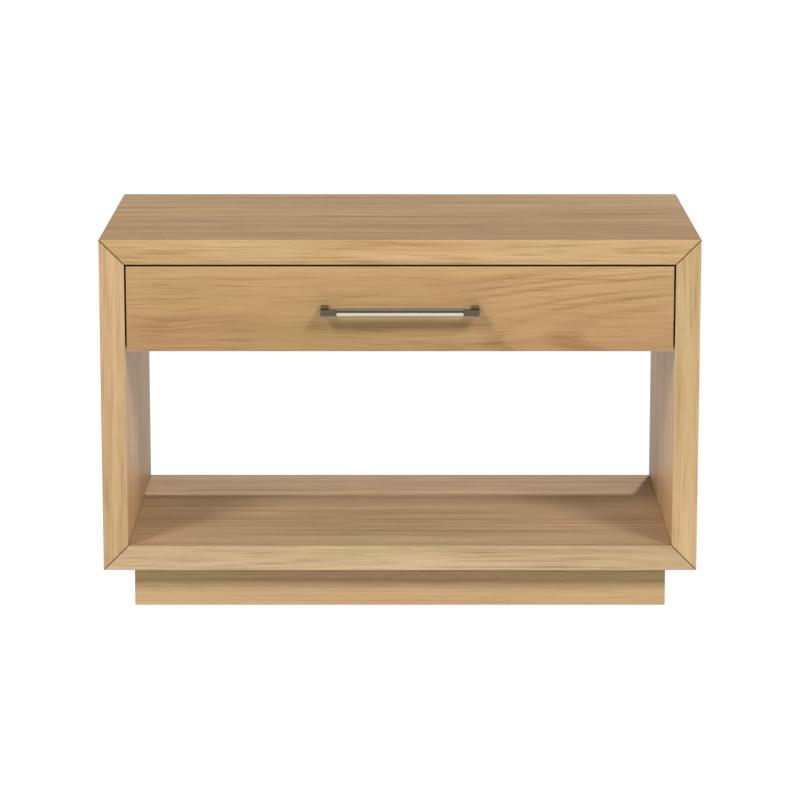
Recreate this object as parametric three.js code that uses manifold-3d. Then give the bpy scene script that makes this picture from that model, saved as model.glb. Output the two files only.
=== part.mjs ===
// A single-drawer oak nightstand: a mitred box of four thick panels on a recessed plinth,
// with an inset drawer on full-extension ball-bearing slides over an open shelf.
// Millimetres. +X is to the right, +Y to the back and +Z up.

import * as THREE from "three";
import { mergeVertices } from "three/addons/utils/BufferGeometryUtils.js";
import Module from "manifold-3d";

const wasm = await Module();
wasm.setup();

// ---------------------------------------------------------------- driving dimensions

const WIDTH = 914.4; // across the case
const DEPTH = 508; // front edge to back edge of the case, without the handle
const HEIGHT = 584.2; // floor to the top surface
const PANEL = 38.1; // thickness of the four case panels
const GAP = 0.3; // clearance of a joint that is glued or screwed tight

const PLINTH_HEIGHT = 69.5; // floor to the underside of the shelf panel
const PLINTH_INSET = 44.5; // how far the plinth stands back from each case face
const PLINTH_BOARD = 18;
const BLOCK = 50; // side of the square corner blocks
const GLIDE = { height: 2, radius: 12.5, edge: 1, shank: 1.25, shankLength: 16, point: 2 };
const BLOCK_OFFSETS = { screw: 10, glide: -9 }; // from a block's middle, towards the plinth's middle

const REVEAL = 3; // gap round the inset drawer front
const FRONT_HEIGHT = 130.5;
const FRONT_BOARD = 19;
const DUST_BOARD = 12; // fixed floor of the drawer bay
const DUST_LIFT = 3.4; // drawer front's lower edge to the underside of the dust panel
const DUST_SETBACK = 2; // drawer front's inner face to the dust panel
const BACK_BOARD = 12; // closes the drawer bay behind
const BACK_INSET = 8; // back panel's outer face to the case's back edge
const HOUSING = 6; // depth of the grooves that hold the dust and back panels
const SPLINE = { thickness: 4, width: 24, endStop: 25, fromInside: 17.5 };

const BOX_BOARD = 12.7; // drawer box sides, front and back
const BOX_HEIGHT = 92;
const BOX_DEPTH = 450;
const BOX_CLEARANCE = 8; // dust panel to the underside of the drawer box
const BOTTOM = { thickness: 6.35, lift: 10, housing: 6 };
const TAILS = { count: 4, rootWidth: 11, tipWidth: 15 };

const SLIDE_LENGTH = 450;
const SLIDE_SETBACK = 22; // case front edge to the front end of the slides
const SLIDE_SPACE = 12.9; // side panel to drawer box, filled by one slide
const SLIDE_LIFT = 43; // underside of the drawer box to the slides' centre line
const SLIDE_STOP = 5; // the moving members end this much short of the fixed one
const STEEL = 1.2; // sheet thickness of the slide members
const BALL = { radius: 1.7, perRow: 6, pitch: 30 };
const CAGE = { length: 190, sheet: 0.5, wing: 0.8 };

const HANDLE_CENTRES = 228.6; // between the two handle screws
const HANDLE_PROJECTION = 38;
const GRIP = { length: 192, radius: 7, chamfer: 0.6 };
const END = { depth: 10, height: 10, post: 12 }; // section of the arms, and side of the square posts
const SPIGOT = { radius: 3, length: 10 };

// ---------------------------------------------------------------- derived planes

const HALF = WIDTH / 2;
const INNER = HALF - PANEL; // inner faces of the side panels, at +-x
const CEILING = HEIGHT - PANEL; // underside of the top panel
const SHELF_TOP = PLINTH_HEIGHT + PANEL;
const FRONT_TOP = CEILING - REVEAL;
const FRONT_BOTTOM = FRONT_TOP - FRONT_HEIGHT;
const DUST_BOTTOM = FRONT_BOTTOM + DUST_LIFT;
const DUST_TOP = DUST_BOTTOM + DUST_BOARD;
const BACK_FACE = DEPTH - BACK_INSET - BACK_BOARD; // inner face of the back panel
const WOOD_BOTTOM = GLIDE.height + GAP; // plinth boards clear the floor on their glides

const BOX_HALF = INNER - SLIDE_SPACE;
const BOX_BOTTOM = DUST_TOP + BOX_CLEARANCE;
const BOX_TOP = BOX_BOTTOM + BOX_HEIGHT;
const BOX_FRONT = FRONT_BOARD + GAP;
const BOX_BACK = BOX_FRONT + BOX_DEPTH;
const SLIDE_Z = BOX_BOTTOM + SLIDE_LIFT;
const MEMBER_LENGTH = SLIDE_LENGTH - SLIDE_STOP;
const HANDLE_Z = (FRONT_TOP + FRONT_BOTTOM) / 2;

const SIDES = { left: -1, right: 1 };
const ENDS = { front: 0, back: 1 };

// ---------------------------------------------------------------- materials

function material(color, roughness, metalness) {
  return new THREE.MeshStandardMaterial({ color, roughness, metalness });
}

const OAK = material(0xc9a878, 0.5, 0);
const MAPLE = material(0xe0cba4, 0.5, 0);
const POPLAR = material(0xcdbb93, 0.7, 0);
const PLYWOOD = material(0xd8c096, 0.7, 0);
const ZINC_STEEL = material(0xb9bcc0, 0.35, 1);
const POLISHED_NICKEL = material(0xdfdcd6, 0.08, 1);
const GUNMETAL = material(0x6a655c, 0.3, 1);
const NYLON = material(0xd9d6cc, 0.6, 0);

// ---------------------------------------------------------------- geometry helpers

/** The box between two corners, each side moved outwards by grow. */
function box([x0, x1], [y0, y1], [z0, z1], grow = 0) {
  const size = [x1 - x0, y1 - y0, z1 - z0].map((s) => s + 2 * grow);
  return new THREE.BoxGeometry(...size).translate((x0 + x1) / 2, (y0 + y1) / 2, (z0 + z1) / 2);
}

function extrude(outline, length) {
  const shape = new THREE.Shape(outline.map(([a, b]) => new THREE.Vector2(a, b)));
  return new THREE.ExtrudeGeometry(shape, { depth: length, bevelEnabled: false });
}

/** An outline of [x, z] points swept along Y. */
const prismY = (outline, [y0, y1]) => extrude(outline, y1 - y0).rotateX(Math.PI / 2).translate(0, y1, 0);

/** An outline of [x, y] points swept along Z. */
const prismZ = (outline, [z0, z1]) => extrude(outline, z1 - z0).translate(0, 0, z0);

/** An outline of [y, z] points swept along X. */
const prismX = (outline, [x0, x1]) =>
  extrude(outline, x1 - x0).rotateX(Math.PI / 2).rotateZ(Math.PI / 2).translate(x0, 0, 0);

/** A profile of [radius, z] points turned about Z. */
function turn(profile, segments) {
  const points = profile.map(([r, z]) => new THREE.Vector2(r, z));
  return new THREE.LatheGeometry(points, segments).rotateX(Math.PI / 2);
}

function solidOf(geometry) {
  const loose = geometry.index ? geometry.toNonIndexed() : geometry;
  const bare = new THREE.BufferGeometry().setAttribute("position", loose.getAttribute("position"));
  const merged = mergeVertices(bare, 1e-4);
  return new wasm.Manifold(
    new wasm.Mesh({
      numProp: 3,
      vertProperties: merged.attributes.position.array,
      triVerts: new Uint32Array(merged.index.array),
    }),
  );
}

function geometryOf(solid) {
  const { numProp, vertProperties, triVerts } = solid.getMesh();
  const positions = new Float32Array(triVerts.length * 3);
  triVerts.forEach((v, i) => positions.set(vertProperties.subarray(v * numProp, v * numProp + 3), i * 3));
  return new THREE.BufferGeometry().setAttribute("position", new THREE.BufferAttribute(positions, 3));
}

const join = (...parts) => geometryOf(parts.map(solidOf).reduce((a, b) => a.add(b)));

const cut = (part, ...cutters) =>
  geometryOf(cutters.map(solidOf).reduce((a, b) => a.subtract(b), solidOf(part)));

/** A copy of a geometry moved, and turned about Y or X first. */
function moved(geometry, [x, y, z], { turnX = 0, turnY = 0 } = {}) {
  return geometry.clone().rotateX(turnX).rotateY(turnY).translate(x, y, z);
}

function mesh(name, geometry, surface, position = [0, 0, 0], rotation = [0, 0, 0]) {
  const made = new THREE.Mesh(geometry, surface);
  made.name = name;
  made.position.set(...position);
  made.rotation.set(...rotation);
  return made;
}

const groupOf = (...children) => new THREE.Group().add(...children.flat());

// ---------------------------------------------------------------- screws

const SCREWS = {
  plinth: { head: 4.2, headDepth: 3, shank: 2.1, length: 44, tip: 6 },
  slide: { head: 3.4, headDepth: 2, shank: 1.6, length: 15, tip: 3 },
  drawerSlide: { head: 3.4, headDepth: 2, shank: 1.6, length: 11, tip: 2 },
  front: { head: 4.6, headHeight: 2.2, shank: 1.8, length: 26, tip: 4 },
  handle: { head: 4, headHeight: 2.4, shank: 2, length: 41, tip: 0.6 },
};
const SCREW_SEGMENTS = 16;
const ROUND_SEGMENTS = 24;

const flatHead = ({ head, headDepth, shank }, grow) => [
  [0, 0],
  [head + grow, 0],
  [shank + grow, -headDepth],
];

const PAN_CROWN = { flat: 0.62, rim: 0.35 }; // flat top and straight rim, as shares of radius and height

const panHead = ({ head, headHeight, shank }, grow) => [
  [0, headHeight],
  [head * PAN_CROWN.flat + grow, headHeight],
  [head + grow, headHeight * PAN_CROWN.rim],
  [head + grow, 0],
  [shank + grow, 0],
];

/** A screw along -Z, seated at z 0: a flat head lies below that plane and a pan head stands above it. */
function screwBody(kind, grow = 0) {
  const { shank, length, tip } = kind;
  const head = kind.headHeight ? panHead(kind, grow) : flatHead(kind, grow);
  const point = [[shank + grow, tip - length], [0, -length - grow]];
  return turn([...head, ...point].reverse(), SCREW_SEGMENTS);
}

/** The screw with the cross recess of its driver. */
function screw(kind) {
  const top = kind.headHeight ?? 0;
  const reach = kind.head * 0.5;
  const slot = 0.5;
  const depth = 1.1;
  return cut(
    screwBody(kind),
    box([-reach, reach], [-slot, slot], [top - depth, top + 1]),
    box([-slot, slot], [-reach, reach], [top - depth, top + 1]),
  );
}

/** The hole that a screw needs, clear of it all round. */
const screwHole = (kind) => screwBody(kind, GAP);

// Turns that point a screw's shank, which runs along -Z, in another direction.
const POINTING = {
  up: { turnX: Math.PI },
  front: { turnX: -Math.PI / 2 },
  left: { turnY: Math.PI / 2 },
  right: { turnY: -Math.PI / 2 },
};

const rotationOf = ({ turnX = 0, turnY = 0 }) => [turnX, turnY, 0];

// ---------------------------------------------------------------- mitred case

// The case's mitres are open by twice the clearance, and each face stands back this far along its panel.
const MITRE = GAP * Math.SQRT2;
const FULL_DEPTH = [0, DEPTH];

/** Every mitre spline: a loose tongue across the corner joint, at 45 degrees. */
const SPLINES = Object.entries(SIDES).flatMap(([side, sx]) =>
  Object.entries({ top: 1, bottom: -1 }).map(([level, sz]) => {
    const z = sz > 0 ? CEILING + SPLINE.fromInside : SHELF_TOP - SPLINE.fromInside;
    return {
      name: `mitre_spline_${level}_${side}`,
      side,
      level,
      position: [sx * (INNER + SPLINE.fromInside), DEPTH / 2, z],
      turnY: (sx * sz * Math.PI) / 4,
    };
  }),
);

function splineBar(grow = 0) {
  const half = [SPLINE.width / 2, DEPTH / 2 - SPLINE.endStop, SPLINE.thickness / 2];
  return box(...half.map((h) => [-h, h]), grow);
}

const splineSlots = (test) =>
  SPLINES.filter(test).map(({ position, turnY }) => moved(splineBar(GAP), position, { turnY }));

const backPanel = (grow = 0) =>
  box(
    [-INNER - HOUSING, INNER + HOUSING],
    [BACK_FACE, BACK_FACE + BACK_BOARD],
    [FRONT_BOTTOM, CEILING + HOUSING],
    grow,
  );

const dustPanel = (grow = 0) =>
  box(
    [-INNER - HOUSING, INNER + HOUSING],
    [FRONT_BOARD + DUST_SETBACK, BACK_FACE - GAP],
    [DUST_BOTTOM, DUST_TOP],
    grow,
  );

// The slide screws, along the slide from its front end.
const CABINET_SCREWS = { front: 37, rear: 325 };
const DRAWER_SCREWS = { front: 60, rear: 370 };
const CABINET_SCREW_SEAT = GAP + STEEL; // distance of a flush head from the side panel's face

function sidePanel(side) {
  const sx = SIDES[side];
  const outline = [
    [HALF, HEIGHT - MITRE],
    [HALF, PLINTH_HEIGHT + MITRE],
    [INNER, SHELF_TOP + MITRE],
    [INNER, CEILING - MITRE],
  ].map(([x, z]) => [sx * x, z]);
  const seat = sx * (INNER - CABINET_SCREW_SEAT);
  const screwHoles = Object.values(CABINET_SCREWS).map((along) =>
    moved(screwHole(SCREWS.slide), [seat, SLIDE_SETBACK + along, SLIDE_Z], POINTING[side]),
  );
  return cut(
    prismY(outline, FULL_DEPTH),
    ...splineSlots((s) => s.side === side),
    backPanel(GAP),
    dustPanel(GAP),
    ...screwHoles,
  );
}

function flatPanel(level) {
  const [outerZ, innerZ] = level === "top" ? [HEIGHT, CEILING] : [PLINTH_HEIGHT, SHELF_TOP];
  const outline = [
    [-HALF + MITRE, outerZ],
    [HALF - MITRE, outerZ],
    [INNER - MITRE, innerZ],
    [-INNER + MITRE, innerZ],
  ];
  const slots = splineSlots((s) => s.level === level);
  const plinthHole = ({ screwAt }) => moved(screwHole(SCREWS.plinth), screwAt, POINTING.up);
  const others = level === "top" ? [backPanel(GAP)] : CORNERS.map(plinthHole);
  return cut(prismY(outline, FULL_DEPTH), ...slots, ...others);
}

// ---------------------------------------------------------------- plinth

const PLINTH = {
  x: HALF - PLINTH_INSET, // outer faces, at +-x
  front: PLINTH_INSET,
  back: DEPTH - PLINTH_INSET,
  z: [WOOD_BOTTOM, PLINTH_HEIGHT - GAP],
};
const BLOCK_BORE = { radius: 7, depth: 40 };

/** The four corners, with the places of each one's block, screw and glide. */
const CORNERS = Object.entries(ENDS).flatMap(([end, back]) =>
  Object.entries(SIDES).map(([side, sx]) => {
    const sy = back ? -1 : 1; // towards the middle of the plinth
    const outerY = back ? PLINTH.back : PLINTH.front;
    const inset = PLINTH_BOARD + GAP + BLOCK / 2;
    const centre = [sx * (PLINTH.x - inset), outerY + sy * inset];
    const beside = (offset) => [centre[0] - sx * offset, centre[1] + sy * offset];
    return {
      name: `${end}_${side}`,
      centre,
      screwAt: [...beside(BLOCK_OFFSETS.screw), WOOD_BOTTOM + BLOCK_BORE.depth],
      glideAt: [...beside(BLOCK_OFFSETS.glide), 0],
    };
  }),
);

function plinthRail(end) {
  const [outer, sy] = end === "back" ? [PLINTH.back, -1] : [PLINTH.front, 1];
  const inner = outer + sy * PLINTH_BOARD;
  const x = PLINTH.x - MITRE / 2;
  const outline = [[-x, outer], [x, outer], [x - PLINTH_BOARD, inner], [-x + PLINTH_BOARD, inner]];
  return prismZ(outline, PLINTH.z);
}

function plinthEnd(side) {
  const sx = SIDES[side];
  const [front, back] = [PLINTH.front + MITRE / 2, PLINTH.back - MITRE / 2];
  const outline = [
    [PLINTH.x, front],
    [PLINTH.x, back],
    [PLINTH.x - PLINTH_BOARD, back - PLINTH_BOARD],
    [PLINTH.x - PLINTH_BOARD, front + PLINTH_BOARD],
  ].map(([x, y]) => [sx * x, y]);
  return prismZ(outline, PLINTH.z);
}

function plinthStretcher() {
  const half = PLINTH_BOARD / 2;
  const inside = PLINTH_BOARD + GAP;
  return box([-half, half], [PLINTH.front + inside, PLINTH.back - inside], PLINTH.z);
}

/** A corner block about its own centre line, with its foot at z 0. */
function cornerBlock({ centre, screwAt, glideAt }) {
  const height = PLINTH.z[1] - PLINTH.z[0];
  const local = ([x, y]) => [x - centre[0], y - centre[1]];
  const { radius, depth } = BLOCK_BORE;
  const bore = turn([[0, -1], [radius, -1], [radius, depth - GAP], [0, depth]], ROUND_SEGMENTS);
  return cut(
    box([-BLOCK / 2, BLOCK / 2], [-BLOCK / 2, BLOCK / 2], [0, height]),
    moved(bore, [...local(screwAt), 0]),
    moved(screwHole(SCREWS.plinth), [...local(screwAt), depth], POINTING.up),
    moved(glideBody(GAP), [...local(glideAt), -WOOD_BOTTOM]),
  );
}

/** A nylon glide with its nail: it stands on z 0 and carries the plinth. */
function glideBody(grow = 0) {
  const { height, radius, edge, shank, shankLength, point } = GLIDE;
  return turn(
    [
      [0, -grow],
      [radius - edge, -grow],
      [radius + grow, edge],
      [radius + grow, height + grow],
      [shank + grow, height + grow],
      [shank + grow, height + shankLength],
      [0, height + shankLength + point + grow],
    ],
    ROUND_SEGMENTS,
  );
}

// ---------------------------------------------------------------- drawer box

const SUB_FRONT = [BOX_FRONT, BOX_FRONT + BOX_BOARD];
const SUB_BACK = [BOX_BACK - BOX_BOARD, BOX_BACK];

const drawerBottom = (grow = 0) => {
  const reach = BOX_BOARD - BOTTOM.housing;
  const z = BOX_BOTTOM + BOTTOM.lift;
  return box(
    [-BOX_HALF + reach, BOX_HALF - reach],
    [BOX_FRONT + reach, BOX_BACK - reach],
    [z, z + BOTTOM.thickness],
    grow,
  );
};

/** The dovetails of one end of a drawer side: wider at the tip than at the root. */
function tails(side, end, grow = 0) {
  const sx = SIDES[side];
  const [root, tip] = end === "front" ? [SUB_FRONT[1], SUB_FRONT[0]] : SUB_BACK;
  const out = Math.sign(tip - root);
  const pitch = BOX_HEIGHT / TAILS.count;
  const intoBoard = 2 * GAP; // how far a tail's root reaches into its own board, to join it
  const x = [BOX_HALF - BOX_BOARD - grow, BOX_HALF + grow].map((v) => sx * v).sort((a, b) => a - b);
  return Array.from({ length: TAILS.count }, (_, i) => {
    const z = BOX_BOTTOM + (i + 0.5) * pitch;
    const [halfRoot, halfTip] = [TAILS.rootWidth / 2 + grow, TAILS.tipWidth / 2 + grow];
    const [yRoot, yTip] = [root - out * (grow || intoBoard), tip + out * grow];
    const outline = [
      [yRoot, z - halfRoot],
      [yTip, z - halfTip],
      [yTip, z + halfTip],
      [yRoot, z + halfRoot],
    ];
    return prismX(outline, x);
  });
}

function drawerSide(side) {
  const sx = SIDES[side];
  const x = [BOX_HALF - BOX_BOARD, BOX_HALF].map((v) => sx * v).sort((a, b) => a - b);
  const board = box(x, [SUB_FRONT[1] + GAP, SUB_BACK[0] - GAP], [BOX_BOTTOM, BOX_TOP]);
  const headFace = sx * (BOX_HALF + GAP + STEEL);
  const inwards = side === "left" ? POINTING.right : POINTING.left;
  const holes = Object.values(DRAWER_SCREWS).map((along) =>
    moved(screwHole(SCREWS.drawerSlide), [headFace, SLIDE_SETBACK + along, SLIDE_Z], inwards),
  );
  return cut(join(board, ...tails(side, "front"), ...tails(side, "back")), drawerBottom(GAP), ...holes);
}

function drawerCrossBoard(end, ...holes) {
  const y = end === "front" ? SUB_FRONT : SUB_BACK;
  return cut(
    box([-BOX_HALF, BOX_HALF], y, [BOX_BOTTOM, BOX_TOP]),
    ...tails("left", end, GAP),
    ...tails("right", end, GAP),
    drawerBottom(GAP),
    ...holes,
  );
}

// The screws that hold the drawer front to the box, and those of the handle, all driven from inside.
const FRONT_SCREW_X = 330;
const FRONT_SCREW_LIFTS = { lower: 27, upper: 74 }; // from the underside of the drawer box
const FRONT_SCREWS = Object.entries(SIDES).flatMap(([side, sx]) =>
  Object.entries(FRONT_SCREW_LIFTS).map(([level, lift]) => ({
    name: `front_screw_${level}_${side}`,
    position: [sx * FRONT_SCREW_X, SUB_FRONT[1], BOX_BOTTOM + lift],
  })),
);
const HANDLE_SCREWS = Object.entries(SIDES).map(([side, sx]) => ({
  name: `handle_screw_${side}`,
  position: [(sx * HANDLE_CENTRES) / 2, SUB_FRONT[1], HANDLE_Z],
}));
const frontHoles = () => [
  ...FRONT_SCREWS.map(({ position }) => moved(screwHole(SCREWS.front), position, POINTING.front)),
  ...HANDLE_SCREWS.map(({ position }) => moved(screwHole(SCREWS.handle), position, POINTING.front)),
];

function drawerFront() {
  const x = INNER - REVEAL;
  return cut(box([-x, x], [0, FRONT_BOARD], [FRONT_BOTTOM, FRONT_TOP]), ...frontHoles());
}

// ---------------------------------------------------------------- handle

const GRIP_Y = -HANDLE_PROJECTION + GRIP.radius;

const cylinderFrom0 = (radius, length) =>
  turn([[0, 0], [radius, 0], [radius, length], [0, length]], ROUND_SEGMENTS);

/** The round grip along X about its own centre, with a blind socket in each end for the spigots. */
function handleGrip() {
  const half = GRIP.length / 2;
  const face = GRIP.radius - GRIP.chamfer;
  const shoulder = half - GRIP.chamfer;
  const rod = turn(
    [[0, -half], [face, -half], [GRIP.radius, -shoulder], [GRIP.radius, shoulder], [face, half], [0, half]],
    32,
  );
  const reach = SPIGOT.length + GAP;
  const socket = cylinderFrom0(SPIGOT.radius + GAP, reach + 1);
  const sockets = [half - reach, -half - 1].map((z) => moved(socket, [0, 0, z]));
  return cut(rod, ...sockets).rotateY(Math.PI / 2);
}

/** An angled end: an arm in line with the grip, a post to the drawer front and a spigot into the grip. */
function handleEnd(side) {
  const sx = SIDES[side];
  const postX = HANDLE_CENTRES / 2;
  const gripEnd = GRIP.length / 2 + GAP;
  const [postFrom, postTo] = [postX - END.post / 2, postX + END.post / 2];
  const spanX = (a, b) => [sx * a, sx * b].sort((p, q) => p - q);
  const spanZ = (height) => [HANDLE_Z - height / 2, HANDLE_Z + height / 2];
  const armY = [GRIP_Y - END.depth / 2, GRIP_Y + END.depth / 2];
  const arm = box(spanX(gripEnd, postTo), armY, spanZ(END.height));
  const post = box(spanX(postFrom, postTo), [GRIP_Y, -GAP], spanZ(END.post));
  const spigot = moved(
    cylinderFrom0(SPIGOT.radius, SPIGOT.length + 1),
    [sx * (gripEnd + 1), GRIP_Y, HANDLE_Z],
    { turnY: (-sx * Math.PI) / 2 },
  );
  const thread = moved(screwHole(SCREWS.handle), [sx * postX, SUB_FRONT[1], HANDLE_Z], POINTING.front);
  return cut(join(arm, post, spigot), thread);
}

// ---------------------------------------------------------------- ball-bearing slides

// Cross sections in [u, v]: u from the side panel towards the drawer, v up from the slide's centre line.
const SECTION = {
  cabinet: { web: GAP, open: 11, half: 22.5, lip: 3.4 },
  intermediate: { web: 2.6, open: 10.2, half: 17.6, lip: STEEL },
  drawer: { web: SLIDE_SPACE - GAP, open: 4.9, half: 12.6, lip: STEEL },
};

/** A C-shaped channel outline with its web on one side and small lips at its open edge. */
function channel({ web, open, half, lip }) {
  const inwards = Math.sign(open - web) * STEEL;
  const upper = [
    [web + inwards, half - STEEL],
    [open - inwards, half - STEEL],
    [open - inwards, half - lip],
    [open, half - lip],
    [open, half],
    [web, half],
  ];
  const withoutLip = upper.filter((_, i) => lip > STEEL || (i !== 1 && i !== 2));
  const lower = withoutLip.map(([u, v]) => [u, -v]).reverse();
  return [...withoutLip, ...lower];
}

/** One member of the left-hand slide: its channel swept along the slide, with any cuts. */
function slideMember(kind, length, ...cutters) {
  const sweep = prismY(channel(SECTION[kind]), [0, length]);
  return cutters.length ? cut(sweep, ...cutters) : sweep;
}

/** A ball retainer: a U of thin sheet, closed behind, whose two wings carry the balls. */
function bearing({ web, tip, ballU, ballV }) {
  const { sheet, wing, length } = CAGE;
  const top = ballV + wing / 2;
  const back = box([web, web + sheet], [0, length], [-top, top]);
  const rows = [ballV, -ballV];
  const wings = rows.map((v) => box([web, tip], [0, length], [v - wing / 2, v + wing / 2]));
  const first = (length - (BALL.perRow - 1) * BALL.pitch) / 2;
  const ball = new THREE.SphereGeometry(BALL.radius, 8, 5).rotateX(Math.PI / 2);
  const along = Array.from({ length: BALL.perRow }, (_, i) => first + i * BALL.pitch);
  const balls = rows.flatMap((v) => along.map((y) => moved(ball, [ballU, y, v])));
  return join(back, ...wings, ...balls);
}

const OUTER_BEARING = { web: 1.8, tip: 8.6, ballU: 6, ballV: 19.45 };
const INNER_BEARING = { web: 4.1, tip: 9.4, ballU: 7.2, ballV: 14.5 };
// A bearing moves half as far as the member it carries, so when closed it stands in the middle.
const BEARING_START = (SLIDE_LENGTH - CAGE.length) / 2;

/** The screws of one slide in its own frame, seated flush in the webs. */
function slideScrews(side) {
  const heads = { cabinet: CABINET_SCREW_SEAT, drawer: SLIDE_SPACE - GAP - STEEL };
  const make = (owner, kind, places, u, pointing) =>
    Object.entries(places).map(([end, along]) =>
      mesh(`${owner}_screw_${end}_${side}`, screw(kind), ZINC_STEEL, [u, along, 0], rotationOf(pointing)),
    );
  return [
    ...make("slide_cabinet", SCREWS.slide, CABINET_SCREWS, heads.cabinet, POINTING.left),
    ...make("slide_drawer", SCREWS.drawerSlide, DRAWER_SCREWS, heads.drawer, POINTING.right),
  ];
}

/** A whole slide, closed. It is drawn as the left-hand one, and mirrored for the right. */
function slide(side) {
  const hole = (kind, places, u, pointing) =>
    Object.values(places).map((along) => moved(screwHole(kind), [u, along, 0], pointing));
  const cabinetHoles = hole(SCREWS.slide, CABINET_SCREWS, CABINET_SCREW_SEAT, POINTING.left);
  const drawerHoles = hole(SCREWS.drawerSlide, DRAWER_SCREWS, SLIDE_SPACE - GAP - STEEL, POINTING.right);
  const group = groupOf(
    mesh(`slide_cabinet_member_${side}`, slideMember("cabinet", SLIDE_LENGTH, ...cabinetHoles), ZINC_STEEL),
    mesh(`slide_intermediate_member_${side}`, slideMember("intermediate", MEMBER_LENGTH), ZINC_STEEL),
    mesh(`slide_drawer_member_${side}`, slideMember("drawer", MEMBER_LENGTH, ...drawerHoles), ZINC_STEEL),
    mesh(`slide_outer_bearing_${side}`, bearing(OUTER_BEARING), ZINC_STEEL, [0, BEARING_START, 0]),
    mesh(`slide_inner_bearing_${side}`, bearing(INNER_BEARING), ZINC_STEEL, [0, BEARING_START, 0]),
    slideScrews(side),
  );
  group.position.set(SIDES[side] * INNER, SLIDE_SETBACK, SLIDE_Z);
  group.scale.x = -SIDES[side];
  return group;
}

// ---------------------------------------------------------------- assembly

const sideNames = Object.keys(SIDES);

const screwMesh = (name, kind, position, pointing) =>
  mesh(name, screw(kind), ZINC_STEEL, position, rotationOf(pointing));

const caseGroup = groupOf(
  mesh("top_panel", flatPanel("top"), OAK),
  mesh("shelf_panel", flatPanel("bottom"), OAK),
  sideNames.map((side) => mesh(`side_panel_${side}`, sidePanel(side), OAK)),
  mesh("back_panel", backPanel(), OAK),
  mesh("dust_panel", dustPanel(), PLYWOOD),
  SPLINES.map(({ name, position, turnY }) => mesh(name, splineBar(), PLYWOOD, position, [0, turnY, 0])),
);

const plinthGroup = groupOf(
  Object.keys(ENDS).map((end) => mesh(`plinth_${end}`, plinthRail(end), OAK)),
  sideNames.map((side) => mesh(`plinth_${side}`, plinthEnd(side), OAK)),
  mesh("plinth_stretcher", plinthStretcher(), POPLAR),
  CORNERS.map((corner) => [
    mesh(`corner_block_${corner.name}`, cornerBlock(corner), POPLAR, [...corner.centre, WOOD_BOTTOM]),
    screwMesh(`plinth_screw_${corner.name}`, SCREWS.plinth, corner.screwAt, POINTING.up),
    mesh(`glide_${corner.name}`, glideBody(), NYLON, corner.glideAt),
  ]).flat(),
);

const drawerGroup = groupOf(
  mesh("drawer_front", drawerFront(), OAK),
  mesh("drawer_box_front", drawerCrossBoard("front", ...frontHoles()), MAPLE),
  mesh("drawer_box_back", drawerCrossBoard("back"), MAPLE),
  sideNames.map((side) => mesh(`drawer_box_${side}`, drawerSide(side), MAPLE)),
  mesh("drawer_bottom", drawerBottom(), PLYWOOD),
  FRONT_SCREWS.map(({ name, position }) => screwMesh(name, SCREWS.front, position, POINTING.front)),
  HANDLE_SCREWS.map(({ name, position }) => screwMesh(name, SCREWS.handle, position, POINTING.front)),
  mesh("handle_grip", handleGrip(), POLISHED_NICKEL, [0, GRIP_Y, HANDLE_Z]),
  sideNames.map((side) => mesh(`handle_end_${side}`, handleEnd(side), GUNMETAL)),
);

const nightstand = groupOf(caseGroup, plinthGroup, drawerGroup, sideNames.map(slide));
// The origin is on the floor under the middle of the whole object, handle included.
nightstand.position.y = (HANDLE_PROJECTION - DEPTH) / 2;

export default nightstand;
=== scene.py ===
"""Looks of a one-drawer oak nightstand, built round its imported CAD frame.

Metres, +Z up. The drawer opens towards -Y. Wood materials are worked out from positions in the
frame, so that the grain runs along each board and stays on its board when the drawer opens.
"""

import math

import bmesh
import bpy
from mathutils import Matrix, Vector


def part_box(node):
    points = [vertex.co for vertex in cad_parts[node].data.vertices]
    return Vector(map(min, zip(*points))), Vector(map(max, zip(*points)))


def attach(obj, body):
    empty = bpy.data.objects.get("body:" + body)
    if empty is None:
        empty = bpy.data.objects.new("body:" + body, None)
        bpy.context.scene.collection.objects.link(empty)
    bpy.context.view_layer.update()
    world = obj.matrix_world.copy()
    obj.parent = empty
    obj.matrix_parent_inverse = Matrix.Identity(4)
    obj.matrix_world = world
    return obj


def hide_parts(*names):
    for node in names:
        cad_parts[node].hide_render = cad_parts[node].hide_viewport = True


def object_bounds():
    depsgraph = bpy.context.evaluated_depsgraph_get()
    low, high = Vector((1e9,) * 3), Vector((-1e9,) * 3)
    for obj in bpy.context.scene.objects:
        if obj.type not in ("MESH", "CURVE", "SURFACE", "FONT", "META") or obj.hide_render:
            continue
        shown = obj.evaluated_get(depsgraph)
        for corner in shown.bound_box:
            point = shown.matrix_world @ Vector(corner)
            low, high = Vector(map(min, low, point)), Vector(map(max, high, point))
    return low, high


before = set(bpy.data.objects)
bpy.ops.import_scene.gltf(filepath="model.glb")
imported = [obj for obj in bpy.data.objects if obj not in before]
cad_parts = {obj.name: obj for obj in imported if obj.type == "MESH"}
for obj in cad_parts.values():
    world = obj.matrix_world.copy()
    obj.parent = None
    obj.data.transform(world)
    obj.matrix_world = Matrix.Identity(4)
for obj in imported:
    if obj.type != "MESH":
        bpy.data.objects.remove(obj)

CAD_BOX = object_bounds()
FLOOR_Z = CAD_BOX[0].z
MM = 0.001
SIDES = {"left": -1, "right": 1}

# ---------------------------------------------------------------- camera

CASE_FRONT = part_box("side_panel_left")[0].y
CAMERA = {"distance": 5.213, "height": 1.373, "pitch": math.radians(11.24), "lens": 156.5}


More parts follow.
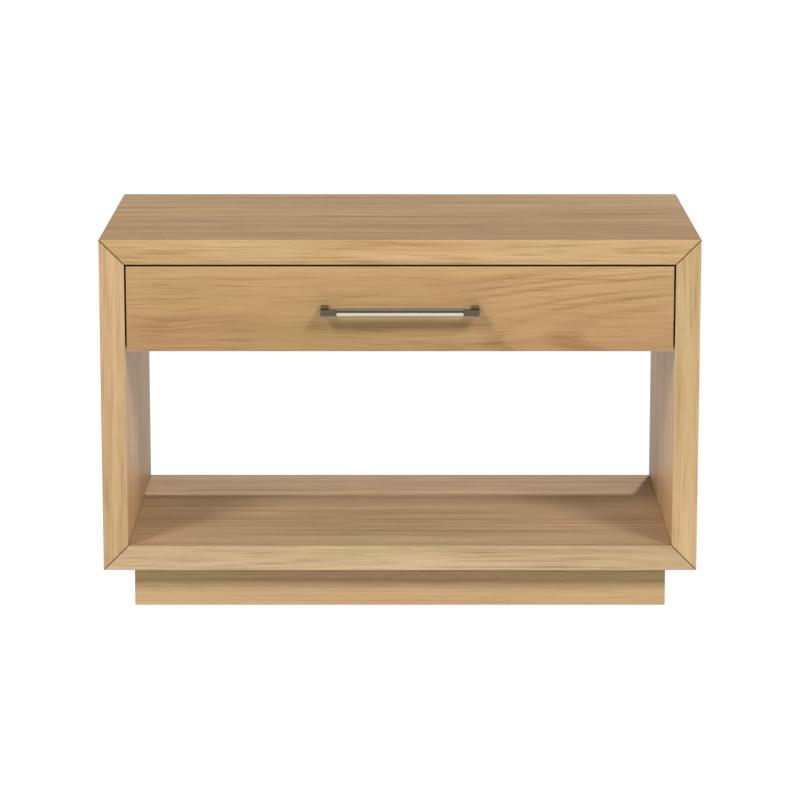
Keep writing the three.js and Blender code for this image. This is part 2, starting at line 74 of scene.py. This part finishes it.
def make_camera():
    data = bpy.data.cameras.new("camera")
    data.lens = CAMERA["lens"]
    data.sensor_width = 36
    camera = bpy.data.objects.new("camera", data)
    camera.location = (0, CASE_FRONT - CAMERA["distance"], CAMERA["height"])
    camera.rotation_euler = (math.pi / 2 - CAMERA["pitch"], 0, 0)
    bpy.context.scene.collection.objects.link(camera)
    bpy.context.scene.camera = camera


make_camera()

# ---------------------------------------------------------------- node helpers


class Nodes:
    """A material's node tree, written as expressions."""

    def __init__(self, name):
        self.material = bpy.data.materials.new(name)
        self.material.use_nodes = True
        self.tree = self.material.node_tree
        self.shader = self.tree.nodes["Principled BSDF"]

    def add(self, kind, inputs=None, **settings):
        node = self.tree.nodes.new(kind)
        for key, value in settings.items():
            setattr(node, key, value)
        for key, value in (inputs or {}).items():
            self.feed(node.inputs[key], value)
        return node

    def feed(self, socket, value):
        if isinstance(value, bpy.types.NodeSocket):
            self.tree.links.new(value, socket)
        else:
            socket.default_value = value

    def math(self, operation, a, b=0.0, clamp=False):
        node = self.add("ShaderNodeMath", {0: a, 1: b}, operation=operation, use_clamp=clamp)
        return node.outputs[0]

    def vector(self, x, y, z):
        return self.add("ShaderNodeCombineXYZ", {0: x, 1: y, 2: z}).outputs[0]

    def noise(self, vector, scale=1.0, detail=2.0, roughness=0.5):
        inputs = {"Vector": vector, "Scale": scale, "Detail": detail, "Roughness": roughness}
        return self.add("ShaderNodeTexNoise", inputs).outputs["Fac"]

    def ramp(self, value, low, high, to_low=0.0, to_high=1.0):
        """value from low to high, smoothly mapped to to_low to to_high."""
        node = self.add(
            "ShaderNodeMapRange",
            {"Value": value, "From Min": low, "From Max": high, "To Min": to_low, "To Max": to_high},
            interpolation_type="SMOOTHSTEP",
        )
        return node.outputs["Result"]

    def mix(self, factor, a, b, blend="MIX"):
        node = self.add("ShaderNodeMix", data_type="RGBA", blend_type=blend)
        self.feed(node.inputs["Factor"], factor)
        self.feed(node.inputs[6], a)
        self.feed(node.inputs[7], b)
        return node.outputs[2]

    def bump(self, height, distance):
        inputs = {"Height": height, "Distance": distance, "Strength": 1.0}
        return self.add("ShaderNodeBump", inputs).outputs["Normal"]

    def finish(self, **sockets):
        for key, value in sockets.items():
            self.feed(self.shader.inputs[key.replace("_", " ")], value)
        return self.material


def rgb(red, green, blue):
    """A display colour, 0 to 255, as the linear colour that a shader takes."""

    def linear(c):
        c /= 255
        return c / 12.92 if c <= 0.04045 else ((c + 0.055) / 1.055) ** 2.4

    return (linear(red), linear(green), linear(blue), 1.0)


# ---------------------------------------------------------------- wood

PORE_BROWN = rgb(126, 92, 56)
GLUE_BROWN = rgb(84, 58, 34)
REDDISH, YELLOWISH = (1.03, 0.985, 0.98, 1.0), (0.98, 1.01, 0.93, 1.0)
STRIP_DEPTH = 0.7 * MM  # how far the colour of an edge strip reaches behind its face
PITH_WANDER = 0.03  # metres that a log's pith strays from a straight line
SWAY = 0.02  # as much again for the fibres, over a shorter length


def wood(
    name,
    board,
    along,
    normal,
    seed,
    light,
    dark,
    pith,
    taper=0.0,
    rings=150.0,
    figure=0.3,
    figure_from=None,
    streaks=0.9,
    long_streaks=0.35,
    pores=0.4,
    roughness=0.42,
    specular=0.15,
    fade=0.0,
    strips=None,
    mitred=0,
    plies=0,
):
    """A lacquered board sawn from a log, in coordinates from the board's own middle.

    The log's rings are circles round its pith, rings of them to a metre. The pith runs roughly
    along the board, pith metres from it across and into the face, drawing away by taper per metre,
    so the face shows straight grain far from the pith and arches near it. figure, streaks,
    long_streaks and pores are how strongly the rings, the fibres' lines, the long dark streaks and
    the pores show, and the rings show fully only past figure_from, metres along the board. fade
    darkens the board from one edge to the other, and on the top it is a painted sheen, paler towards
    the back. strips is the colour gain of the thin edge strips at its front and back: painted light,
    shade and sheen, setting the edges apart from the broad face as the light falls on them. mitred
    is 1 or -1 where both ends of such a board are mitred, its longer face lying on that side of it.
    plies is the number of layers of plywood.
    """
    n = Nodes(name)
    low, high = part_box(board)
    middle = (low + high) / 2
    split = n.add("ShaderNodeSeparateXYZ", {0: n.add("ShaderNodeTexCoord").outputs["Object"]})
    centred = {axis: n.math("SUBTRACT", split.outputs[i], middle[i]) for i, axis in enumerate("XYZ")}
    half = {axis: (high[i] - low[i]) / 2 for i, axis in enumerate("XYZ")}
    across_axis = next(a for a in "XYZ" if a not in (along, normal))
    u, v, w = centred[along], centred[across_axis], centred[normal]

    def field(scales, detail=2.0, roughness=0.5, salt=0.0, wavy=0.0):
        """Noise with its own scale along the grain, across it and into the face, in cycles a metre.

        salt sets one field apart from another, and wavy moves the noise across the grain.
        """
        parts = (u, n.math("ADD", v, wavy), w) if wavy else (u, v, w)
        scaled = [n.math("MULTIPLY", part, scale) for part, scale in zip(parts, scales)]
        shifted = [n.math("ADD", part, seed * 7.31 + salt) for part in scaled]
        return n.noise(n.vector(*shifted), 1.0, detail, roughness)

    def signed(value, gain):
        return n.math("MULTIPLY", n.math("SUBTRACT", value, 0.5), gain)

    def times(*values):
        result = values[0]
        for value in values[1:]:
            result = n.math("MULTIPLY", result, value)
        return result

    def total(*values):
        result = values[0]
        for value in values[1:]:
            result = n.math("ADD", result, value)
        return result

    # The edge strips show the fine straight grain of their own boards and hardly any rings.
    strip = 0.0
    if strips:
        edge, blur = half["Y"] - STRIP_DEPTH, 0.1 * MM
        strip = n.ramp(n.math("ABSOLUTE", centred["Y"]), edge - blur, edge + blur)
    broad_face = n.math("SUBTRACT", 1.0, strip)

    drift = signed(field((1.3, 0, 0), salt=1.0), PITH_WANDER)
    ripple = signed(field((3.0, 14.0, 3.0), detail=3.0, salt=3.0), 0.01)
    across = total(v, -pith[0], drift, ripple)
    into = total(w, -pith[1], times(u, taper))
    radius = n.math("SQRT", total(times(across, across), times(into, into)))
    years = n.noise(n.vector(times(radius, 30.0), seed, 0.0), 1.0, 2.0)
    phase = n.math("FRACT", total(times(radius, rings), times(years, 3.5)))
    # Each ring starts with a dark line of open earlywood and fades into pale latewood.
    early = times(n.ramp(phase, 0.0, 0.1), n.ramp(phase, 0.55, 0.12))
    shown = n.ramp(field((3.0, 20.0, 20.0), salt=4.0), 0.35, 0.65, 0.25, 1.0)
    if figure_from is not None:
        shown = times(shown, n.ramp(u, figure_from - 0.1, figure_from + 0.08, 0.12, 1.0))
    ring = times(early, shown, n.math("SUBTRACT", 1.0, times(strip, 0.75)))

    # The fibres wander a few millimetres to either side on their way along the board.
    sway = times(signed(field((6.0, 9.0, 9.0), detail=2.0, salt=13.0), SWAY), broad_face)
    fibre = field((14.0, 520.0, 520.0), detail=3.0, roughness=0.65, salt=5.0, wavy=sway)
    band = field((2.0, 48.0, 48.0), detail=4.0, roughness=0.6, salt=6.0, wavy=sway)
    fine_line = n.ramp(field((10.0, 330.0, 330.0), detail=2.0, salt=7.0, wavy=sway), 0.52, 0.68)
    long_line = n.ramp(field((2.6, 170.0, 170.0), detail=2.0, salt=7.5, wavy=sway), 0.57, 0.74)
    streak = n.ramp(field((0.9, 30.0, 30.0), detail=3.0, salt=8.0, wavy=sway), 0.6, 0.78)
    broad = field((1.6, 7.0, 7.0), salt=9.0)
    dash = field((80.0, 1500.0, 1500.0), detail=1.0, salt=10.0)
    pore = times(n.ramp(dash, 0.58, 0.7), n.ramp(ring, 0.0, 0.8, 0.35, 1.0))

    shade = total(
        times(ring, figure),
        signed(fibre, streaks * 0.9),
        signed(band, streaks * 1.3),
        times(fine_line, streaks * 0.36),
        times(long_line, streaks * 0.36),
        times(streak, long_streaks),
        signed(broad, 0.5),
        times(v, fade, broad_face),
    )
    if plies:
        layer = n.math("FRACT", n.math("MULTIPLY", w, plies / 4 / half[normal]))
        shade = total(shade, n.ramp(layer, 0.48, 0.52, 0.0, 0.35))
    color = n.mix(n.math("ADD", shade, 0.28, clamp=True), light, dark)
    warmth = n.ramp(field((2.2, 9.0, 9.0), salt=11.0), 0.35, 0.65)
    tint = n.mix(warmth, REDDISH, YELLOWISH)
    color = n.mix(1.0, color, tint, "MULTIPLY")
    color = n.mix(times(pore, pores), color, PORE_BROWN)
    # Painted light, shade and sheen: the strips' gain makes the edges lighter, darker or cooler than the
    # broad face.
    if strips:
        color = n.mix(strip, color, n.mix(1.0, color, strips, "MULTIPLY"))

    if mitred:
        # Glue and stain darken the mitre's line in the edge strips.
        from_end = n.math("SUBTRACT", half[along], n.math("ABSOLUTE", u))
        from_outside = n.math("SUBTRACT", half[normal], n.math("MULTIPLY", w, mitred))
        from_joint = n.math("SUBTRACT", from_end, from_outside)
        glue = n.ramp(from_joint, 1.5 * MM, 0.7 * MM)
        color = n.mix(times(glue, strip, 0.6), color, GLUE_BROWN)

    # Painted highlight: the board is paler, in patches, along its long edges, where the eased arrises
    # catch the light, and a little rougher there.
    from_side = n.math("SUBTRACT", half[across_axis], n.math("ABSOLUTE", v))
    from_face = n.math("SUBTRACT", half[normal], n.math("ABSOLUTE", w))
    from_edge = n.math("MAXIMUM", from_side, from_face)
    patchy = n.ramp(field((22.0, 60.0, 60.0), salt=12.0), 0.4, 0.65)
    arris_highlight = times(n.ramp(from_edge, 2.2 * MM, 0.3 * MM), patchy)
    color = n.mix(times(arris_highlight, 0.3), color, light)

    height = total(times(pore, -1.0), times(fibre, 0.25), times(ring, -0.3))
    gloss = total(times(pore, 0.2), times(arris_highlight, 0.12), times(fibre, 0.1), roughness)
    return n.finish(
        Base_Color=color,
        Roughness=gloss,
        Normal=n.bump(height, 0.08 * MM),
        Specular_IOR_Level=specular,
        Coat_Weight=0.03,
        Coat_Roughness=0.3,
    )


# ---------------------------------------------------------------- metal and plastic


def darker(color, gain):
    return [c * gain for c in color[:3]] + [1.0]


def plated(name, color, roughness, scratch_axis, scratches):
    """Plated metal with fine polishing lines along an axis and slight uneven wear."""
    n = Nodes(name)
    coords = n.add("ShaderNodeTexCoord").outputs["Object"]
    split = n.add("ShaderNodeSeparateXYZ", {0: coords})
    along, across = 40.0, 2500.0  # cycles a metre
    scales = [along if axis == scratch_axis else across for axis in "XYZ"]
    stretched = [n.math("MULTIPLY", split.outputs[i], scale) for i, scale in enumerate(scales)]
    lines = n.noise(n.vector(*stretched), 1.0, 2.0, 0.6)
    patches = n.noise(coords, 60.0, 3.0, 0.6)
    rough = n.math("ADD", roughness, n.math("MULTIPLY", lines, scratches))
    rough = n.math("ADD", rough, n.math("MULTIPLY", patches, scratches))
    tint = n.mix(n.ramp(patches, 0.3, 0.7, 0.0, 0.5), color, darker(color, 0.86))
    return n.finish(
        Base_Color=tint,
        Metallic=1.0,
        Roughness=rough,
        Normal=n.bump(lines, 0.01 * MM),
    )


def moulded(name, color):
    """Matte moulded nylon with a fine spark-eroded grain."""
    n = Nodes(name)
    coords = n.add("ShaderNodeTexCoord").outputs["Object"]
    grain = n.noise(coords, 1800.0, 2.0, 0.6)
    cloudy = n.noise(coords, 90.0, 2.0)
    return n.finish(
        Base_Color=n.mix(cloudy, color, darker(color, 0.9)),
        Roughness=n.ramp(grain, 0.3, 0.7, 0.5, 0.65),
        Normal=n.bump(grain, 0.05 * MM),
    )


def nodes_named(start):
    return sorted(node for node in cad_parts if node.startswith(start))


def assign(material, *nodes):
    for node in nodes:
        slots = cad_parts[node].data.materials
        slots.clear()
        slots.append(material)


OAK = dict(light=rgb(188, 156, 114), dark=rgb(134, 103, 68))
# SIDE, TOP and SHELF are one oak with painted light: the top's broad face is painted darker as shade and
# the shelf's lighter as light, their strip gains bringing the edges back to the oak, and the sides' edges
# get a cool painted sheen.
SIDE = dict(strips=(1.0, 1.06, 1.16, 1.0), streaks=0.7, specular=0.12, **OAK)
TOP = dict(light=rgb(163, 134, 97), dark=rgb(110, 80, 50), strips=(1.37, 1.45, 1.43, 1.0), streaks=0.8)
SHELF = dict(light=rgb(194, 166, 132), dark=rgb(140, 112, 82), strips=(0.84, 0.88, 0.86, 1.0))
FRONT = dict(light=rgb(175, 144, 102), dark=rgb(123, 94, 60), figure_from=0.12, rings=90.0, streaks=0.6)
PLINTH = dict(light=rgb(180, 154, 116), dark=rgb(136, 110, 78), streaks=0.4)
MAPLE = dict(light=rgb(216, 192, 150), dark=rgb(190, 160, 114), pores=0.2, long_streaks=0.15)
POPLAR = dict(light=rgb(204, 188, 147), dark=rgb(170, 156, 110), pores=0.2, roughness=0.65)
PLY = dict(light=rgb(210, 186, 143), dark=rgb(180, 150, 104), figure=0.4, pores=0.25, plies=9)

# name, boards, along, normal, kind, the rest
WOODS = [
    ("oak_front", ["drawer_front"], "X", "Y", FRONT, dict(pith=(-0.045, 0.09), taper=0.1, fade=-3.0)),
    # On the top, fade is a painted sheen: the top is paler towards the back and darker at the front.
    ("oak_top", ["top_panel"], "X", "Z", TOP, dict(pith=(0.3, -0.3), mitred=1, rings=60.0, fade=-0.6)),
    ("oak_shelf", ["shelf_panel"], "X", "Z", SHELF, dict(pith=(-0.3, -0.25), mitred=-1, rings=70.0)),
    ("oak_side_left", ["side_panel_left"], "Z", "X", SIDE, dict(pith=(0.3, -0.25), mitred=-1)),
    ("oak_side_right", ["side_panel_right"], "Z", "X", SIDE, dict(pith=(0.25, 0.3), mitred=1)),
    ("oak_back", ["back_panel"], "X", "Y", OAK, dict(pith=(0.1, 0.1), taper=0.04)),
    ("oak_plinth_x", ["plinth_front", "plinth_back"], "X", "Y", PLINTH, dict(pith=(0.2, -0.2))),
    ("oak_plinth_y", ["plinth_left", "plinth_right"], "Y", "X", PLINTH, dict(pith=(0.2, 0.2))),
    ("maple_x", ["drawer_box_front", "drawer_box_back"], "X", "Y", MAPLE, dict(pith=(0.1, 0.1))),
    ("maple_y", ["drawer_box_left", "drawer_box_right"], "Y", "X", MAPLE, dict(pith=(0.1, 0.1))),
    ("birch_bottom", ["drawer_bottom"], "X", "Z", PLY, dict(pith=(0.2, 0.15))),
    ("birch_dust_panel", ["dust_panel"], "X", "Z", PLY, dict(pith=(0.1, 0.2))),
    ("birch_spline", nodes_named("mitre_spline"), "Y", "Z", PLY, dict(pith=(0.1, 0.1))),
    ("poplar_y", ["plinth_stretcher"], "Y", "X", POPLAR, dict(pith=(0.1, 0.1))),
    ("poplar_z", nodes_named("corner_block"), "Z", "X", POPLAR, dict(pith=(0.1, 0.1))),
]
for seed, (name, boards, along, normal, kind, looks) in enumerate(WOODS):
    assign(wood(name, boards[0], along, normal, seed, **kind, **looks), *boards)

ZINC = plated("zinc_steel", rgb(172, 172, 171), 0.3, "Y", 0.18)
for start in ("slide_", "plinth_screw", "front_screw", "handle_screw"):
    assign(ZINC, *nodes_named(start))
POLISHED = plated("polished_nickel", rgb(214, 206, 195), 0.05, "X", 0.03)
# The handle's ends are the polished nickel painted darker, a painted dark reflection of the dim studio in
# front.
assign(plated("dark_nickel", rgb(104, 97, 87), 0.16, "X", 0.08), *nodes_named("handle_end"))
assign(moulded("nylon", rgb(222, 219, 210)), *nodes_named("glide_"))

# ---------------------------------------------------------------- grip and ball retainers


def new_piece(name, made, surface, body, replaced=None):
    """Turns a finished bmesh into a piece that rides on a body."""
    mesh = bpy.data.meshes.new(name)
    bmesh.ops.recalc_face_normals(made, faces=made.faces)
    made.to_mesh(mesh)
    made.free()
    mesh.materials.append(surface)
    piece = bpy.data.objects.new(name, mesh)
    bpy.context.scene.collection.objects.link(piece)
    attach(piece, body)
    if replaced:
        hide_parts(replaced)
    return piece


def turned(profile, centre):
    """A solid of revolution about X from (x, radius) points, the first and last of them on the axis."""
    segments = 96
    made = bmesh.new()
    rings = []
    for x, radius in profile:
        if radius == 0:
            rings.append([made.verts.new(centre + Vector((x, 0, 0)))])
            continue
        angles = [2 * math.pi * i / segments for i in range(segments)]
        circle = [Vector((x, radius * math.cos(a), radius * math.sin(a))) for a in angles]
        rings.append([made.verts.new(centre + point) for point in circle])
    for one, two in zip(rings, rings[1:]):
        for i in range(segments):
            after = i + 1
            corners = [one[i % len(one)], one[after % len(one)], two[after % len(two)], two[i % len(two)]]
            made.faces.new(list(dict.fromkeys(corners)))
    for face in made.faces:
        face.smooth = True
    return made


def make_grip():
    """The round grip, its ends rounded over and bored for the spigots."""
    low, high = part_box("handle_grip")
    centre = (low + high) / 2
    half = high.x - centre.x
    radius = high.z - centre.z
    bore = {"radius": 3.3 * MM, "depth": 10.3 * MM}
    edge = 0.7 * MM
    steps = 6
    quarter = [math.pi / 2 * i / steps for i in range(steps + 1)]
    rounded = [(half - edge + edge * math.cos(a), radius - edge + edge * math.sin(a)) for a in quarter]
    socket = [(half - bore["depth"], 0), (half - bore["depth"], bore["radius"]), (half, bore["radius"])]
    right = socket + rounded
    left = [(-x, r) for x, r in reversed(right)]
    piece = new_piece(
        "grip", turned(right + left, centre), POLISHED, "drawer", "handle_grip"
    )
    piece.modifiers.new("crisp", "EDGE_SPLIT").split_angle = math.radians(40)


make_grip()

BALL = {"radius": 1.7 * MM, "per_row": 6, "pitch": 30 * MM}
RETAINER_SHEET = 0.7 * MM
# How far the balls' centres lie inside the tips of the retainer's wings.
TIP_TO_BALL = {"outer": 2.6 * MM, "inner": 2.2 * MM}
BALL_STEEL = plated("ball_steel", rgb(222, 224, 228), 0.06, "X", 0.03)


def make_retainer(name, node, body, towards_drawer):
    """A U of thin sheet along Y, with rounded bends where its two wings leave its back."""
    low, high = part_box(node)
    middle = (low + high) / 2
    reach = high.x - low.x
    wing_z = high.z - middle.z - BALL["radius"] + RETAINER_SHEET / 2
    back_x = middle.x - towards_drawer * reach / 2
    bend, steps = 1.6 * MM, 6

    def upper_half(inset):
        """The upper half of the section, from its wing's tip to the back, as (reach, height)."""
        arc = [math.pi / 2 * i / steps for i in range(steps + 1)]
        turn = bend - inset
        return [(reach, wing_z - inset)] + [
            (bend - turn * math.sin(a), wing_z - bend + turn * math.cos(a)) for a in arc
        ]

    outer, inner = upper_half(0.0), upper_half(RETAINER_SHEET)
    loop = outer + [(x, -z) for x, z in reversed(outer)] + [(x, -z) for x, z in inner]
    loop += list(reversed(inner))
    made = bmesh.new()
    section = [made.verts.new((back_x + towards_drawer * x, low.y, middle.z + z)) for x, z in loop]
    moved = [made.verts.new((v.co.x, high.y, v.co.z)) for v in section]
    count = len(loop)
    for i in range(count):
        j = (i + 1) % count
        made.faces.new((section[i], section[j], moved[j], moved[i]))
    # The two ends are strips of quads between the section's outer and inner lines.
    half = count // 2
    for ring in (section, moved):
        for i in range(half - 1):
            made.faces.new((ring[i], ring[i + 1], ring[count - 2 - i], ring[count - 1 - i]))
    new_piece(name, made, ZINC, body, node)


def make_balls(name, node, body, towards_drawer, tip_to_ball):
    """The two rows of steel balls of one retainer."""
    low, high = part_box(node)
    middle = (low + high) / 2
    x = middle.x + towards_drawer * ((high.x - low.x) / 2 - tip_to_ball)
    row = high.z - middle.z - BALL["radius"]
    made = bmesh.new()
    for i in range(BALL["per_row"]):
        y = middle.y + (i - (BALL["per_row"] - 1) / 2) * BALL["pitch"]
        for z in (middle.z + row, middle.z - row):
            place = Matrix.Translation((x, y, z))
            shape = {"u_segments": 20, "v_segments": 12, "radius": BALL["radius"]}
            bmesh.ops.create_uvsphere(made, matrix=place, **shape)
    for face in made.faces:
        face.smooth = True
    new_piece(name, made, BALL_STEEL, body)


for layer, tip_to_ball in TIP_TO_BALL.items():
    for side, outwards in SIDES.items():
        towards_drawer = -outwards
        node = f"slide_{layer}_bearing_{side}"
        body = f"{layer}_bearing_{side}"
        make_retainer(f"slide_{layer}_retainer_{side}", node, body, towards_drawer)
        make_balls(f"slide_{layer}_balls_{side}", node, body, towards_drawer, tip_to_ball)


# ---------------------------------------------------------------- eased edges


SAME_POINT = 0.01 * MM
SAME_PLANE = math.radians(0.5)
SHARP_EDGE = math.radians(35)


def ease(node, width):
    """Rounds a CAD node's sharp edges a little, as sanding or tumbling does."""
    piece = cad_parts[node]
    weld = piece.modifiers.new("weld", "WELD")
    weld.merge_threshold = SAME_POINT
    flat = piece.modifiers.new("flat_faces", "DECIMATE")
    flat.decimate_type = "DISSOLVE"
    flat.angle_limit = SAME_PLANE
    bevel = piece.modifiers.new("eased", "BEVEL")
    bevel.width = width
    bevel.segments = 3
    bevel.limit_method = "ANGLE"
    bevel.angle_limit = SHARP_EDGE
    bevel.harden_normals = True


# How far the edges are rounded, in millimetres, by the start of the node's name.
EDGES = {
    "top_panel": 0.9,
    "shelf_panel": 0.9,
    "side_panel": 0.9,
    "drawer_front": 0.8,
    "plinth_front": 0.8,
    "plinth_back": 0.8,
    "plinth_left": 0.8,
    "plinth_right": 0.8,
    "plinth_stretcher": 0.6,
    "corner_block": 0.6,
    "back_panel": 0.5,
    "dust_panel": 0.5,
    "handle_end": 0.5,
    "drawer_box_": 0.35,
    "drawer_bottom": 0.3,
    "slide_cabinet_member": 0.3,
    "slide_intermediate_member": 0.3,
    "slide_drawer_member": 0.3,
}
for start, edge in EDGES.items():
    for node in nodes_named(start):
        ease(node, edge * MM)

# ---------------------------------------------------------------- stage and light


def make_floor():
    size = 40.0
    mesh = bpy.data.meshes.new("floor")
    made = bmesh.new()
    bmesh.ops.create_grid(made, x_segments=1, y_segments=1, size=size)
    made.to_mesh(mesh)
    made.free()
    floor = bpy.data.objects.new("floor", mesh)
    floor.location.z = FLOOR_Z
    bpy.context.scene.collection.objects.link(floor)
    n = Nodes("floor")
    mesh.materials.append(
        n.finish(
            Base_Color=(0.07, 0.07, 0.07, 1.0),
            Roughness=0.9,
            Specular_IOR_Level=0.1,
            Emission_Color=(1.0, 1.0, 1.0, 1.0),
            Emission_Strength=0.97,
        )
    )


def sun(name, azimuth, elevation, strength, softness, color=(1.0, 1.0, 1.0), in_gloss=False):
    """A distant light. Azimuth 0 is the front and 180 the back, and softness is its size, in degrees."""
    data = bpy.data.lights.new(name, "SUN")
    data.energy = strength
    data.color = color
    data.angle = math.radians(softness)
    light = bpy.data.objects.new(name, data)
    turn, rise = math.radians(azimuth), math.radians(elevation)
    towards = Vector((math.sin(turn) * math.cos(rise), -math.cos(turn) * math.cos(rise), math.sin(rise)))
    light.rotation_euler = towards.to_track_quat("Z", "Y").to_euler()
    light.visible_glossy = in_gloss
    bpy.context.scene.collection.objects.link(light)


WARM = (1.0, 0.985, 0.96, 1.0)
STUDIO = {"everywhere": 0.13, "backdrop": 0.32, "overhead": 0.15, "front_strip": 0.35}


def make_world():
    """A dim studio with a pale backdrop behind, a soft glow overhead and a strip light at the front."""
    world = bpy.data.worlds.new("studio")
    world.use_nodes = True
    tree = world.node_tree

    def ramp(value, low, high):
        node = tree.nodes.new("ShaderNodeMapRange")
        node.interpolation_type = "SMOOTHSTEP"
        node.inputs["From Min"].default_value = low
        node.inputs["From Max"].default_value = high
        tree.links.new(value, node.inputs["Value"])
        return node.outputs["Result"]

    def join(operation, a, b):
        node = tree.nodes.new("ShaderNodeMath")
        node.operation = operation
        for socket, value in zip(node.inputs, (a, b)):
            if isinstance(value, bpy.types.NodeSocket):
                tree.links.new(value, socket)
            else:
                socket.default_value = value
        return node.outputs[0]

    coords = tree.nodes.new("ShaderNodeTexCoord")
    split = tree.nodes.new("ShaderNodeSeparateXYZ")
    tree.links.new(coords.outputs["Generated"], split.inputs[0])
    _, back, up = split.outputs
    backdrop = join("MULTIPLY", ramp(back, 0.0, 0.6), ramp(up, 0.45, 0.2))
    overhead = ramp(up, 0.7, 0.98)
    strip = join("MULTIPLY", ramp(up, 0.86, 0.88), ramp(up, 0.93, 0.91))
    front_strip = join("MULTIPLY", strip, ramp(back, 0.1, -0.1))
    light = STUDIO["everywhere"]
    light = join("ADD", light, join("MULTIPLY", backdrop, STUDIO["backdrop"]))
    light = join("ADD", light, join("MULTIPLY", overhead, STUDIO["overhead"]))
    light = join("ADD", light, join("MULTIPLY", front_strip, STUDIO["front_strip"]))
    background = tree.nodes["Background"]
    tree.links.new(light, background.inputs["Strength"])
    background.inputs["Color"].default_value = WARM
    bpy.context.scene.world = world


make_floor()
make_world()
COOL = (0.97, 1.0, 1.12)
sun("rear", azimuth=166, elevation=64, strength=2.08, softness=2.5, color=COOL, in_gloss=True)
for side, turn in SIDES.items():
    sun(f"key_{side}", azimuth=turn * 32, elevation=35, strength=1.77, softness=14)
    sun(f"rim_{side}", azimuth=turn * 122, elevation=8, strength=0.75, softness=20)
    sun(f"fill_{side}", azimuth=turn * 78, elevation=6, strength=1.1, softness=20)

scene = bpy.context.scene
scene.view_settings.view_transform = "Standard"
scene.view_settings.look = "None"

bpy.context.view_layer.update()
